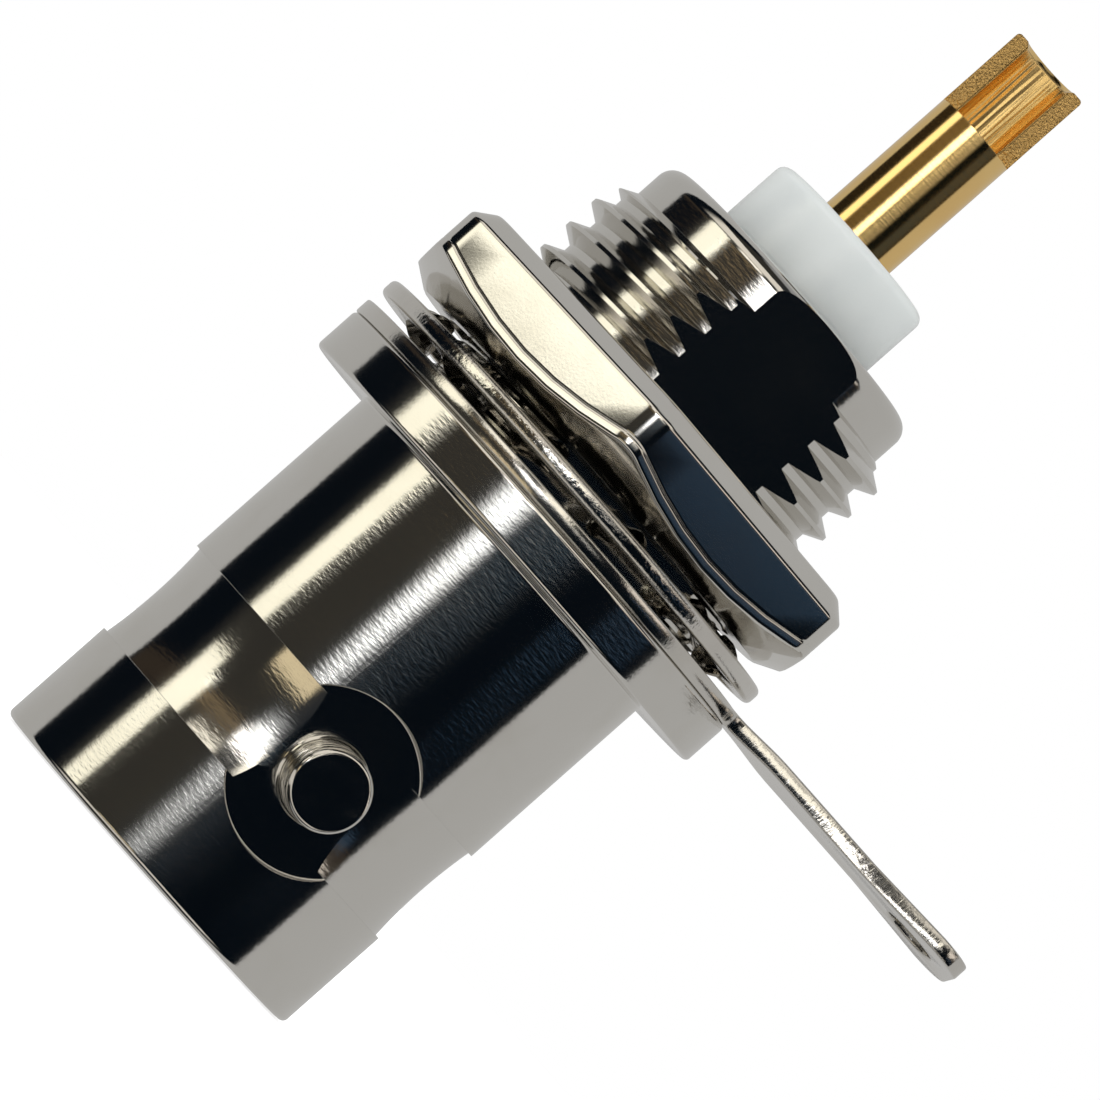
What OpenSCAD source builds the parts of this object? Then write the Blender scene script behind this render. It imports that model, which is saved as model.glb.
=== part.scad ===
// Bulkhead jack of a BNC connector: bayonet shell, trapped insulators and contact,
// ground tag, internal-tooth lock washer and panel nut.
// Millimetres. Z runs from the mating face (z = 0) to the solder cup, +X through a bayonet stud.

/* [Barrel] */
// Outer diameter of the barrel that the plug slides over
barrel_d = 9.6; // [9.2:0.1:10.4]
// Length of the barrel from the mating face to the flange
barrel_len = 11; // [10:0.1:14]
// Wall of the barrel round the contact bore
barrel_wall = 0.75; // [0.65:0.05:1.1]
// Amount that the mouth is wider than the contact bore, on the radius
mouth_relief = 0.125; // [0.05:0.005:0.2]
// Depth of the wide mouth
mouth_len = 2.2; // [1:0.1:3]
// Depth of the contact bore, from the mating face to the reference plane
contact_bore_depth = 8.4; // [8:0.1:9.4]
// Break on the outer edge of the rim
rim_edge = 0.15; // [0.05:0.05:0.2]
// Lead-in on the inner edge of the rim
mouth_edge = 0.18; // [0.05:0.01:0.2]

/* [Bayonet studs] */
// Diameter of each stud
stud_d = 2; // [1.7:0.1:2.3]
// Height of each stud over the barrel
stud_rise = 0.7; // [0.5:0.05:1]
// Distance from the mating face to the stud axis
stud_from_face = 4.4; // [4:0.1:5]
// Break on the rim of each stud
stud_edge = 0.12; // [0.05:0.01:0.25]
// Diameter of the round pocket milled about each stud
pocket_d = 4.6; // [3.6:0.1:5.2]
// Depth of that pocket, from the top of the barrel to its flat floor
pocket_depth = 0.35; // [0.25:0.01:0.45]

/* [Relief band] */
// Width of the band turned round the barrel, centred on the studs
band_w = 2.87; // [2.3:0.01:3.4]
// Depth of the step at each end of the band
band_step = 0.1; // [0.05:0.01:0.14]
// Further depth of the hollow in the middle of the band
band_hollow = 0.08; // [0.03:0.01:0.12]

/* [Flange] */
// Diameter of the flange
flange_d = 12.9; // [12:0.1:15]
// Thickness of the flange
flange_t = 1.2; // [0.8:0.1:2]
// Break on both edges of the flange
flange_edge = 0.15; // [0.05:0.05:0.3]

/* [Threaded shank] */
// Outside diameter of the thread
shank_d = 9.45; // [9:0.05:10]
// Length of the threaded shank behind the flange
shank_len = 6.7; // [5.6:0.1:10]
// Run-out cone at the end of the thread, along the axis
runout_len = 0.35; // [0.2:0.05:0.5]
// Distance from the axis to the flat along the shank
shank_flat = 3.9; // [3.7:0.05:4.5]

/* [Rolled end] */
// Diameter of the plain end behind the thread
end_d = 8.3; // [7.8:0.1:8.8]
// Length of the plain end, up to the roll
end_len = 0.65; // [0.3:0.05:1]
// Radius where the end is rolled inward
roll_r = 0.45; // [0.15:0.05:0.6]
// Rise of the rolled lip towards its hole
lip_rise = 0.1; // [0.05:0.05:0.4]
// Diameter of the hole in the rolled lip
lip_d = 5; // [4.8:0.05:5.6]
// Thickness of the lip at its hole
lip_t = 0.6; // [0.4:0.05:1]

/* [Insulators] */
// Diameter of the nose inside the mouth
nose_d = 4.7; // [4.4:0.05:4.8]
// Distance from the mating face to the nose
nose_recess = 3.2; // [2.4:0.1:4]
// Diameter of the bore that holds both insulators
cavity_d = 6.5; // [6:0.1:7]
// Thickness of the web between the contact bore and that cavity
web_t = 0.8; // [0.5:0.1:1.2]
// Distance from the web to the joint between the two insulators
front_body_len = 4; // [3:0.1:6]
// Diameter of the neck that leaves the rolled lip
neck_d = 4.9; // [4.4:0.05:4.95]
// Length of the neck outside the lip
neck_out = 1.83; // [1:0.01:3]
// Rounding on the end of the neck
neck_edge = 0.25; // [0.1:0.05:0.4]

/* [Centre contact] */
// Outside diameter of the contact
contact_d = 2.2; // [2:0.05:2.4]
// Length of the contact outside the neck
contact_out = 6.12; // [4:0.01:8]
// Distance from the front of the nose to the tips of the socket
socket_recess = 0.3; // [0.1:0.1:0.8]
// Diameter of the socket bore
socket_d = 1.38; // [1.3:0.01:1.5]
// Depth of the socket bore
socket_depth = 5.6; // [5:0.1:7]
// Width of each saw cut across the socket
slot_w = 0.25; // [0.15:0.01:0.26]
// Length of each saw cut
slot_len = 3.8; // [2:0.1:4.6]
// Diameter of the collar that the insulators trap
collar_d = 3.3; // [2.8:0.1:4]
// Thickness of that collar
collar_t = 1.2; // [0.8:0.1:2]
// Break on the outer edges of the contact
contact_edge = 0.12; // [0.05:0.01:0.2]
// Diameter of the solder cup bore
cup_d = 1.35; // [1.1:0.05:1.5]
// Depth of the solder cup bore
cup_depth = 5; // [4.8:0.1:5.5]
// Length of the half that is cut away from the cup
scoop_len = 2.37; // [1.5:0.01:2.6]
// Direction that the open half of the cup faces, about Z
scoop_turn = -17; // [-180:1:180]

/* [Ground tag] */
// Thickness of the tag
tag_t = 0.4; // [0.3:0.05:0.8]
// Diameter of the ring of the tag
tag_ring_d = 12.9; // [12:0.1:14]
// Clearance between the ring and the shank, on the radius
tag_gap = 0.1; // [0.05:0.05:0.3]
// Width of the tail where it leaves the ring
tail_w = 2.4; // [2:0.1:3.2]
// Width of the tail at its flared tip
tip_w = 3.9; // [3.3:0.1:4.6]
// Radius of the fillets between the tail and the ring
tail_fillet = 0.5; // [0.2:0.1:0.8]
// Distance from the axis to the start of the flare
flare_start = 11.1; // [9:0.1:12]
// Distance from the axis to the end of the tip
tag_reach = 14.3; // [13.9:0.1:18]
// Radius of the corners of the tip
tip_corner = 0.9; // [0.4:0.1:1.2]
// Diameter of the wire hole in the tip
wire_hole_d = 1.5; // [1:0.1:1.8]
// Distance from the end of the tip to the centre of the wire hole
wire_hole_in = 1.4; // [1.3:0.1:2]
// Direction of the tail about Z
tail_turn = 74; // [0:1:359]
// Twist of the tail about its own length
tail_twist = 4.5; // [0:0.5:8]

/* [Lock washer] */
// Outside diameter of the washer
washer_d = 12.8; // [12:0.1:14]
// Thickness of the washer's sheet
washer_t = 0.45; // [0.3:0.05:0.6]
// Width of the plain rim
washer_rim_w = 0.9; // [0.6:0.05:1.1]
// Number of teeth
tooth_count = 12; // [8:1:14]
// Width of each tooth
tooth_w = 1.4; // [1:0.1:1.7]
// Twist of each tooth
tooth_twist = 30; // [15:1:45]
// Clearance between the tooth tips and the shank, on the radius
tooth_gap = 0.15; // [0.05:0.05:0.3]

/* [Hex nut] */
// Distance across the flats
nut_af = 12.7; // [12:0.1:14.3]
// Thickness of the nut
nut_t = 2.35; // [2:0.05:4]
// Diameter of the round front face, inside the chamfer
nut_face_d = 11.5; // [10.6:0.1:11.9]
// Angle of the front chamfer
nut_chamfer = 30; // [20:1:35]
// Radius along the rear edges
nut_rear_r = 0.55; // [0.2:0.05:0.7]
// Amount that each vertical corner is turned down by
nut_corner_cut = 0.12; // [0.05:0.01:0.3]
// Clearance between the bore and the thread, on the radius
nut_gap = 0.04; // [0.02:0.01:0.1]
// Direction of one corner about Z
nut_turn = -15; // [-30:1:30]

/* [Fits] */
// Clearance round the insulators and the contact, on the radius
fit_gap = 0.03; // [0.01:0.01:0.05]

/* [Hidden] */
$fn = 96;

// Overlap of a cutter past the face that it opens
over = 1;

// Bores of the barrel, from the wall that they leave
contact_bore_r = barrel_d / 2 - barrel_wall;
mouth_r = contact_bore_r + mouth_relief;

// Places along the axis, each from the one before
seat_z = barrel_len + flange_t;
thread_end_z = seat_z + shank_len;
roll_z = thread_end_z + end_len;
rear_z = roll_z + roll_r + lip_rise;
cavity_z = contact_bore_depth + web_t;
split_z = cavity_z + front_body_len;
shoulder_z = rear_z - lip_t;
neck_z = rear_z + neck_out;
contact_z = neck_z + contact_out;
socket_z = nose_recess + socket_recess;

// The washer stands on the corners of its twisted teeth
washer_h = tooth_w * sin(tooth_twist) + washer_t * cos(tooth_twist);
washer_z = seat_z + tag_t;
nut_z = washer_z + washer_h;

nickel = "#b9b6ae";
nickel_dark = "#8f8d88";
gold = "#d8b45a";
fluoropolymer = "#f1f3f4";

// Ring about Z, from z = 0 up
module ring(outer_r, inner_r, h) {
    difference() {
        cylinder(r = outer_r, h = h);
        translate([0, 0, -over]) cylinder(r = inner_r, h = h + 2 * over);
    }
}

// What a rounding of radius r takes off a corner at the origin, material towards -X and -Y
module corner_cut(r) {
    difference() {
        translate([-r, -r]) square(r + over);
        translate([-r, -r]) circle(r = r);
        translate([-r - over, -r - over]) square([over, 2 * over + r]);
        translate([-r - over, -r - over]) square([2 * over + r, over]);
    }
}

// ---- Shell ----

module shell_outline() {
    barrel_r = barrel_d / 2;
    flange_r = flange_d / 2;
    polygon([
        [mouth_r + mouth_edge, 0],
        [barrel_r - rim_edge, 0],
        [barrel_r, rim_edge],
        [barrel_r, barrel_len],
        [flange_r - flange_edge, barrel_len],
        [flange_r, barrel_len + flange_edge],
        [flange_r, seat_z - flange_edge],
        [flange_r - flange_edge, seat_z],
        [shank_d / 2, seat_z],
        [shank_d / 2, thread_end_z - runout_len],
        [end_d / 2, thread_end_z],
        [end_d / 2, roll_z + roll_r],
        [end_d / 2 - roll_r, roll_z + roll_r],
        [lip_d / 2, rear_z],
        [lip_d / 2, shoulder_z],
        [cavity_d / 2, shoulder_z],
        [cavity_d / 2, cavity_z],
        [nose_d / 2 + fit_gap, cavity_z],
        [nose_d / 2 + fit_gap, contact_bore_depth],
        [contact_bore_r, contact_bore_depth],
        [contact_bore_r, mouth_len + mouth_relief],
        [mouth_r, mouth_len],
        [mouth_r, mouth_edge]
    ]);
}

// Section of the relief band: a step at each end and a shallow hollow between them
module band_section() {
    hollow_r = (pow(band_w / 2, 2) + pow(band_hollow, 2)) / (2 * band_hollow);
    step_r = barrel_d / 2 - band_step;
    translate([0, stud_from_face]) {
        translate([step_r, -band_w / 2]) square([over, band_w]);
        intersection() {
            translate([step_r - band_hollow + hollow_r, 0]) circle(r = hollow_r, $fn = 720);
            translate([step_r - over, -band_w / 2]) square([2 * over, band_w]);
        }
    }
}

module shell_section() {
    difference() {
        shell_outline();
        band_section();
        translate([end_d / 2, roll_z + roll_r]) corner_cut(roll_r);
    }
}

// One stud along +X, from inside the barrel wall to its tip
module stud() {
    root = (contact_bore_r + barrel_d / 2) / 2;
    tip = barrel_d / 2 + stud_rise;
    translate([root, 0, stud_from_face]) rotate([0, 90, 0])
        cylinder(d = stud_d, h = tip - stud_edge - root);
    translate([tip - stud_edge, 0, stud_from_face]) rotate([0, 90, 0])
        cylinder(d1 = stud_d, d2 = stud_d - 2 * stud_edge, h = stud_edge);
}

// The ring that a hollow mill sweeps about one stud
module stud_pocket() {
    translate([barrel_d / 2 - pocket_depth, 0, stud_from_face]) rotate([0, 90, 0])
        ring(pocket_d / 2, stud_d / 2, pocket_depth + stud_rise + over);
}

module shell() {
    color(nickel) difference() {
        union() {
            rotate_extrude() shell_section();
            for (side = [0, 180]) rotate(side) stud();
        }
        for (side = [0, 180]) rotate(side) stud_pocket();
        translate([shank_flat, -shank_d, seat_z])
            cube([shank_d, 2 * shank_d, rear_z - seat_z + over]);
    }
}

// ---- Insulators and centre contact ----

module front_insulator() {
    color(fluoropolymer) difference() {
        union() {
            translate([0, 0, nose_recess]) cylinder(d = nose_d, h = split_z - nose_recess);
            translate([0, 0, cavity_z])
                cylinder(r = cavity_d / 2 - fit_gap, h = split_z - cavity_z);
        }
        cylinder(r = contact_d / 2 + fit_gap, h = split_z + over);
    }
}

module rear_section() {
    difference() {
        union() {
            translate([0, split_z]) square([cavity_d / 2 - fit_gap, shoulder_z - split_z]);
            translate([0, split_z]) square([neck_d / 2, neck_z - split_z]);
        }
        translate([neck_d / 2, neck_z]) corner_cut(neck_edge);
        translate([-over, split_z - over])
            square([contact_d / 2 + fit_gap + over, neck_z - split_z + 2 * over]);
        translate([-over, split_z - over])
            square([collar_d / 2 + fit_gap + over, collar_t + over]);
    }
}

module rear_insulator() {
    color(fluoropolymer) rotate_extrude() rear_section();
}

module contact_outline() {
    contact_r = contact_d / 2;
    polygon([
        [0, socket_z],
        [contact_r - contact_edge, socket_z],
        [contact_r, socket_z + contact_edge],
        [contact_r, split_z],
        [collar_d / 2, split_z],
        [collar_d / 2, split_z + collar_t],
        [contact_r, split_z + collar_t],
        [contact_r, contact_z - contact_edge],
        [contact_r - contact_edge, contact_z],
        [0, contact_z]
    ]);
}

// Socket bore with its lead-in, and the saw cuts that part its tips
module socket_cuts() {
    lead = contact_edge;
    translate([0, 0, socket_z - over]) cylinder(d = socket_d, h = socket_depth + over);
    translate([0, 0, socket_z])
        cylinder(r1 = socket_d / 2 + lead, r2 = socket_d / 2, h = lead);
    for (turn = [45, 135]) rotate(turn)
        translate([-contact_d, -slot_w / 2, socket_z - over])
            cube([2 * contact_d, slot_w, slot_len + over]);
}

// Solder cup bore with its countersink, and the half cut away at its end
module cup_cuts() {
    lead = contact_edge;
    translate([0, 0, contact_z - cup_depth]) cylinder(d = cup_d, h = cup_depth + over);
    translate([0, 0, contact_z - lead])
        cylinder(r1 = cup_d / 2, r2 = cup_d / 2 + lead, h = lead);
    rotate(scoop_turn) translate([0, -contact_d, contact_z - scoop_len])
        cube([contact_d, 2 * contact_d, scoop_len + over]);
}

module centre_contact() {
    color(gold) difference() {
        rotate_extrude() contact_outline();
        socket_cuts();
        cup_cuts();
    }
}

// ---- Ground tag ----

// Outline of the tail along +X: a strip that flares to a tip with round corners
module tail_outline() {
    root = shank_d / 2 + tag_gap + (tag_ring_d - shank_d) / 4;
    corner_x = tag_reach - tip_corner;
    corner_y = tip_w / 2 - tip_corner;
    difference() {
        union() {
            polygon([
                [root, -tail_w / 2],
                [flare_start, -tail_w / 2],
                [corner_x, -tip_w / 2],
                [corner_x, -corner_y],
                [tag_reach, -corner_y],
                [tag_reach, corner_y],
                [corner_x, corner_y],
                [corner_x, tip_w / 2],
                [flare_start, tail_w / 2],
                [root, tail_w / 2]
            ]);
            for (side = [-1, 1])
                translate([corner_x, side * corner_y]) circle(r = tip_corner);
            tail_root(root);
        }
        translate([tag_reach - wire_hole_in, 0]) circle(d = wire_hole_d);
    }
}

// Fillets from the tail to the ring, each tangent to both
module tail_root(root) {
    ring_r = tag_ring_d / 2;
    centre_r = ring_r + tail_fillet;
    centre_y = tail_w / 2 + tail_fillet;
    centre_x = sqrt(centre_r * centre_r - centre_y * centre_y);
    touch_y = centre_y * ring_r / centre_r;
    difference() {
        translate([root, -touch_y]) square([centre_x - root, 2 * touch_y]);
        for (side = [-1, 1])
            translate([centre_x, side * centre_y]) circle(r = tail_fillet);
    }
}

// The twist starts past the ring: over the ring the tail keeps between the ring's two faces
module tail() {
    stack_r = max(flange_d, tag_ring_d, washer_d) / 2 + fit_gap;
    difference() {
        translate([0, 0, tag_t / 2]) rotate([tail_twist, 0, 0])
            translate([0, 0, -tag_t / 2]) linear_extrude(tag_t) tail_outline();
        for (z = [-over, tag_t]) translate([0, 0, z]) cylinder(r = stack_r, h = over);
    }
}

module ground_tag() {
    color(nickel) translate([0, 0, seat_z]) rotate(tail_turn) {
        ring(tag_ring_d / 2, shank_d / 2 + tag_gap, tag_t);
        tail();
    }
}

// ---- Lock washer ----

module tooth() {
    tip = shank_d / 2 + tooth_gap;
    root = washer_d / 2 - washer_rim_w / 2;
    translate([(tip + root) / 2, 0, 0]) rotate([tooth_twist, 0, 0])
        cube([root - tip, tooth_w, washer_t], center = true);
}

module lock_washer() {
    color(nickel_dark) translate([0, 0, washer_z + washer_h / 2]) {
        translate([0, 0, -washer_t / 2])
            ring(washer_d / 2, washer_d / 2 - washer_rim_w, washer_t);
        for (i = [0 : tooth_count - 1]) rotate(i * 360 / tooth_count) tooth();
    }
}

// ---- Hex nut ----

// Slab between two opposite flats, with its rear edges rounded
module flat_pair() {
    length = 2 * nut_af;
    rotate([90, 0, 0]) linear_extrude(length, center = true) difference() {
        translate([-nut_af / 2, 0]) square([nut_af, nut_t]);
        for (side = [0, 1]) mirror([side, 0])
            translate([nut_af / 2, nut_t]) corner_cut(nut_rear_r);
    }
}

// Round blank of the nut: front chamfer, turned corners and bore
module nut_blank() {
    corner_r = nut_af / sqrt(3) - nut_corner_cut;
    face_r = nut_face_d / 2;
    bore_r = shank_d / 2 + nut_gap;
    rotate_extrude() polygon([
        [bore_r, 0],
        [face_r, 0],
        [corner_r, (corner_r - face_r) * tan(nut_chamfer)],
        [corner_r, nut_t],
        [bore_r, nut_t]
    ]);
}

module hex_nut() {
    color(nickel) translate([0, 0, nut_z]) rotate(nut_turn + 30) intersection() {
        nut_blank();
        flat_pair();
        rotate(60) flat_pair();
        rotate(120) flat_pair();
    }
}

shell();
front_insulator();
rear_insulator();
centre_contact();
ground_tag();
lock_washer();
hex_nut();
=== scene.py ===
"""Looks of a bulkhead bayonet jack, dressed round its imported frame.

Lengths in the classes are millimetres, and every mesh is brought to metres when it is made.
Z runs along the axis from the mating face to the solder cup, and +X through one stud.
"""

import logging
import math
from dataclasses import dataclass
from enum import Enum

import bmesh
import bpy
import numpy as np
from mathutils import Matrix, Vector


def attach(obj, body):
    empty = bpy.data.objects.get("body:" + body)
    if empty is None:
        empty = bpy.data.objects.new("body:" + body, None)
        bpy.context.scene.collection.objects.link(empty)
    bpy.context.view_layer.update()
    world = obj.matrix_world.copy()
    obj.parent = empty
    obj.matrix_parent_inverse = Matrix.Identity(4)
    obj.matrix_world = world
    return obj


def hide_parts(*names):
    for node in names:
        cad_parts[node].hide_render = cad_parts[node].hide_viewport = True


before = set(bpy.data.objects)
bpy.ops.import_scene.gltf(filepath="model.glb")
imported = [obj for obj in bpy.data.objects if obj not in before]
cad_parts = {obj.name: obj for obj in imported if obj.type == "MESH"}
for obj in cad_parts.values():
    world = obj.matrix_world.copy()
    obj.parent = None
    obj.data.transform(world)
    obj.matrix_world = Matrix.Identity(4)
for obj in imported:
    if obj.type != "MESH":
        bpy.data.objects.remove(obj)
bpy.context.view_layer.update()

MM = 0.001
WELD = 1.5e-7
COLUMNS = 192
FLAT_WEIGHT = 60
CREST_FLAT = 1 / 8
ROOT_FLAT = 1 / 4
THREAD_EASE = 0.06
log = logging.getLogger("jack")

Rgb = tuple[float, float, float]
Loop = list[tuple[float, float]]


class Body(Enum):
    """Bodies of the frame that pieces ride on."""

    CONNECTOR = "connector"
    WASHER = "washer"
    NUT = "nut"


class Side(Enum):
    """Which way a threaded or turned surface faces."""

    OUTER = 1.0
    INNER = -1.0


# ---- Node graphs ----


class Value:
    """A number socket whose operators add Math nodes to its graph."""

    def __init__(self, graph: "Graph", socket: bpy.types.NodeSocket) -> None:
        """Wraps one output socket of the graph."""
        self.graph = graph
        self.socket = socket

    def math(self, operation: str, *others: "Value | float") -> "Value":
        """Adds one Math node that starts with this value."""
        return self.graph.math(operation, self, *others)

    def __add__(self, other: "Value | float") -> "Value":
        """This value plus another."""
        return self.math("ADD", other)

    def __radd__(self, other: float) -> "Value":
        """A number plus this value."""
        return self.graph.math("ADD", other, self)

    def __sub__(self, other: "Value | float") -> "Value":
        """This value less another."""
        return self.math("SUBTRACT", other)

    def __rsub__(self, other: float) -> "Value":
        """A number less this value."""
        return self.graph.math("SUBTRACT", other, self)

    def __mul__(self, other: "Value | float") -> "Value":
        """This value times another."""
        return self.math("MULTIPLY", other)

    def __rmul__(self, other: float) -> "Value":
        """A number times this value."""
        return self.graph.math("MULTIPLY", other, self)

    def __truediv__(self, other: "Value | float") -> "Value":
        """This value over another."""
        return self.math("DIVIDE", other)

    def __rtruediv__(self, other: float) -> "Value":
        """A number over this value."""
        return self.graph.math("DIVIDE", other, self)

    def __pow__(self, power: "Value | float") -> "Value":
        """This value to a power."""
        return self.math("POWER", power)

    def least(self, other: "Value | float") -> "Value":
        """The smaller of two values."""
        return self.math("MINIMUM", other)

    def most(self, other: "Value | float") -> "Value":
        """The larger of two values."""
        return self.math("MAXIMUM", other)

    def size(self) -> "Value":
        """The value without its sign."""
        return self.math("ABSOLUTE")

    def ramp(self, low: float, high: float) -> "Value":
        """A smooth step.

        Args:
            low: the value at which the step starts.
            high: the value at which it is whole; it may be the smaller one.

        Returns:
            0 before low, 1 past high, and an even ease between them.
        """
        node = self.graph.node(
            "ShaderNodeMapRange",
            {"interpolation_type": "SMOOTHSTEP"},
            {"Value": self, "From Min": low, "From Max": high},
        )
        return self.graph.value(node, "Result")


Input = Value | bpy.types.NodeSocket | float | tuple | bpy.types.ID


class Graph:
    """Adds nodes to one shader or geometry tree."""

    def __init__(self, tree: bpy.types.NodeTree) -> None:
        """Starts on a tree."""
        self.tree = tree

    def node(
        self,
        kind: str,
        settings: dict[str, object] | None = None,
        inputs: dict[str | int, Input] | None = None,
    ) -> bpy.types.Node:
        """Makes any node.

        Args:
            kind: the node's type name.
            settings: its options, set first; "stops" holds a ramp's places and colours.
            inputs: numbers, vectors or links by socket name or number.

        Returns:
            The new node.
        """
        made = self.tree.nodes.new(kind)
        for name, setting in (settings or {}).items():
            if name == "stops":
                self._stops(made.color_ramp, setting)
            else:
                setattr(made, name, setting)
        for key, given in (inputs or {}).items():
            socket = given.socket if isinstance(given, Value) else given
            if isinstance(socket, bpy.types.NodeSocket):
                self.tree.links.new(socket, made.inputs[key])
            else:
                made.inputs[key].default_value = socket
        return made

    @staticmethod
    def _stops(ramp: bpy.types.ColorRamp, stops: list[tuple[float, Rgb]]) -> None:
        """Fills a colour ramp.

        Args:
            ramp: the ramp of a new node.
            stops: a place from 0 to 1 and a colour for each stop, in order.
        """
        while len(ramp.elements) < len(stops):
            ramp.elements.new(1.0)
        for element, (place, colour) in zip(ramp.elements, stops):
            element.position = place
            element.color = (*colour, 1.0)

    def value(self, node: bpy.types.Node, key: str | int = 0) -> Value:
        """Wraps an output of a node."""
        return Value(self, node.outputs[key])

    def math(self, operation: str, *terms: Value | float) -> Value:
        """Adds a Math node.

        Args:
            operation: the node's operation.
            terms: its values or links, in order.

        Returns:
            The node's result.
        """
        node = self.node("ShaderNodeMath", {"operation": operation}, dict(enumerate(terms)))
        return self.value(node)

    def vector(self, x: Input, y: Input, z: Input) -> bpy.types.NodeSocket:
        """Three values as one vector."""
        return self.node("ShaderNodeCombineXYZ", None, {0: x, 1: y, 2: z}).outputs[0]

    def split(self, vector: bpy.types.NodeSocket) -> tuple[Value, Value, Value]:
        """A vector as three values."""
        node = self.node("ShaderNodeSeparateXYZ", None, {0: vector})
        return self.value(node, 0), self.value(node, 1), self.value(node, 2)

    def scaled(self, vector: bpy.types.NodeSocket, factor: float) -> bpy.types.NodeSocket:
        """A vector times a number."""
        node = self.node(
            "ShaderNodeVectorMath", {"operation": "SCALE"}, {0: vector, "Scale": factor}
        )
        return node.outputs[0]

    def plus(self, base: Input, share: Input, light: Rgb) -> bpy.types.NodeSocket:
        """Adds a share of one colour to another.

        Args:
            base: the colour that is added to.
            share: how much is added, from 0 to 1.
            light: the colour that is added.

        Returns:
            The sum's socket.
        """
        node = self.node(
            "ShaderNodeVectorMath", {"operation": "MULTIPLY_ADD"}, {0: share, 1: light, 2: base}
        )
        return node.outputs[0]

    def noise(self, vector: bpy.types.NodeSocket, scale: float, detail: float = 2.0) -> Value:
        """A noise from 0 to 1 over a vector in millimetres.

        Args:
            vector: where it is read.
            scale: features per millimetre.
            detail: how many finer layers it has.

        Returns:
            The noise's value.
        """
        node = self.node(
            "ShaderNodeTexNoise", None, {"Vector": vector, "Scale": scale, "Detail": detail}
        )
        return self.value(node, "Fac")

    def blend(self, share: Input, first: Input, second: Input) -> bpy.types.NodeSocket:
        """Mixes two colours.

        Args:
            share: how much of the second shows, from 0 to 1.
            first: the colour at 0.
            second: the colour at 1.

        Returns:
            The mixed colour's socket.
        """
        node = self.node("ShaderNodeMix", {"data_type": "RGBA"}, {0: share, 6: first, 7: second})
        return node.outputs[2]


def rgba(colour: Rgb) -> tuple[float, float, float, float]:
    """A colour with full alpha."""
    return (*colour, 1.0)


# ---- Finishes ----


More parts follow.
